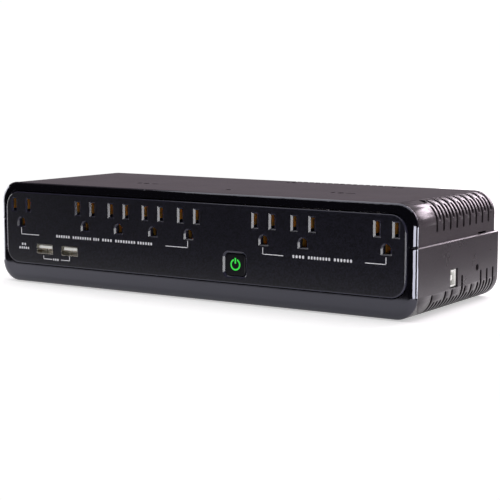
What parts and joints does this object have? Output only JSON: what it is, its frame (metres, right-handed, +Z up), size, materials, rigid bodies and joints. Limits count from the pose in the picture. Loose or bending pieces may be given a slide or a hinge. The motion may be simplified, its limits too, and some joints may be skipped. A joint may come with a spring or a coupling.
{
  "type": "uninterruptible power supply",
  "caption": "Slim lying battery backup unit: plum-grey cover over a dark base, gloss black ring round a matt outlet face with USB sockets, a lit power button and side vents.",
  "frame": {"origin": "middle of the box round the whole unit, on the floor under the feet", "axes": "+X along the long side to the right of the outlet face, the outlet face looks along -Y, +Z up"},
  "size_m": [0.325, 0.1222, 0.0702],
  "materials": {
    "case_top": "fine moulded grain, plum grey",
    "case_base": "fine moulded grain, dark grey",
    "gloss_black": "polished",
    "panel_black": "fine moulded grain",
    "inner_plastic": "moulded",
    "brass": "stamped",
    "nickel": "nickel plated",
    "gold": "gold flash",
    "circuit_board": "solder mask",
    "component_black": "moulded",
    "button_black": "satin",
    "symbol_green": "lit light guide",
    "lamp_green": "clear lens",
    "battery_plastic": "moulded",
    "jacket_red": "vinyl",
    "wire_red": "vinyl insulation",
    "wire_black": "vinyl insulation",
    "rubber": "moulded",
    "lamination": "varnished laminations",
    "bobbin_plastic": "moulded nylon",
    "copper": "enamelled wire",
    "zinc_steel": "zinc plated",
    "usb_b_white": "moulded",
    "capacitor_sleeve": "shrink sleeve",
    "relay_blue": "moulded",
    "sink_aluminium": "extruded",
    "fuse_glass": "clear tube",
    "reset_black": "satin",
    "foam": "closed cell"
  },
  "bodies": {
    "case": {"top_cover": "case_top", "base": "case_base", "bezel_upper": "gloss_black", "bezel_lower": "gloss_black", "front_panel": "panel_black", "outlet_carrier_left": "inner_plastic", "outlet_carrier_right": "inner_plastic", "line_contacts": "brass", "neutral_contacts": "brass", "ground_contacts": "brass", "usb_shells": "nickel", "usb_tongues": "usb_b_white", "usb_pins": "gold", "usb_board": "circuit_board", "usb_charger_parts": "component_black", "power_switch": "component_black", "switch_legs": "nickel", "power_board": "circuit_board", "power_led": "lamp_green", "battery_case": "battery_plastic", "battery_lid": "battery_plastic", "battery_terminals": "nickel", "spade_jackets": "jacket_red", "lead_positive": "wire_red", "lead_negative": "wire_black", "feet": "rubber", "transformer_core": "lamination", "transformer_bobbin": "bobbin_plastic", "transformer_windings": "copper", "transformer_strap": "zinc_steel", "transformer_seat": "rubber", "main_board": "circuit_board", "usb_b_shell": "usb_b_white", "usb_b_core": "usb_b_white", "capacitors": "capacitor_sleeve", "relays": "relay_blue", "heat_sink": "sink_aluminium", "transistors": "component_black", "fuse": "fuse_glass", "fuse_clips": "nickel", "buzzer": "component_black", "board_header": "inner_plastic", "breaker_body": "component_black", "breaker_nut": "component_black", "cord_gland": "rubber", "case_screws": "zinc_steel", "board_screws": "zinc_steel", "carrier_screws": "zinc_steel", "battery_pads": "foam"},
    "button": {"power_button": "button_black", "power_symbol": "symbol_green", "switch_plunger": "inner_plastic"},
    "door": {"battery_door": "case_base", "door_foot": "rubber"},
    "reset": {"reset_button": "reset_black"}
  },
  "joints": [
    {"name": "power_button_press", "type": "slide", "parent": "case", "child": "button", "axis": [0, 1, 0], "range_m": [0, 0.0015], "stiffness_N_per_m": 600, "springref_m": -0.0015},
    {"name": "battery_door_slide", "type": "slide", "parent": "case", "child": "door", "axis": [0, 1, 0], "range_m": [0, 0.045]},
    {"name": "reset_button_travel", "type": "slide", "parent": "case", "child": "reset", "axis": [0, 1, 0], "range_m": [0, 0.003]}
  ]
}
